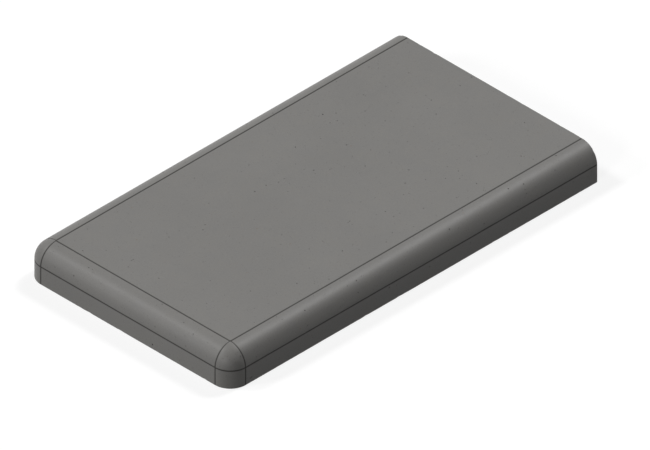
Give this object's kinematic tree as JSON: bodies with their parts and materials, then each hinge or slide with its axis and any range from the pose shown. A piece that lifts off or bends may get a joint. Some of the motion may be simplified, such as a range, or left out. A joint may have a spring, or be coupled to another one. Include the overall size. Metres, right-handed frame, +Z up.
{
  "type": "concrete coping stone",
  "caption": "Cast concrete wall coping slab with a rounded nose on both long sides and the closed end, a square joint end and a drip groove under the overhang.",
  "frame": {"origin": "middle of the bed face, the flat underside that rests on the wall", "axes": "+Z up from bed face to top face, +X along the length towards the square joint end, so the closed rounded end faces -X"},
  "size_m": [0.6, 0.335, 0.05],
  "materials": {
    "concrete": "matte"
  },
  "bodies": {
    "root": {"coping_stone": "concrete"}
  },
  "joints": []
}
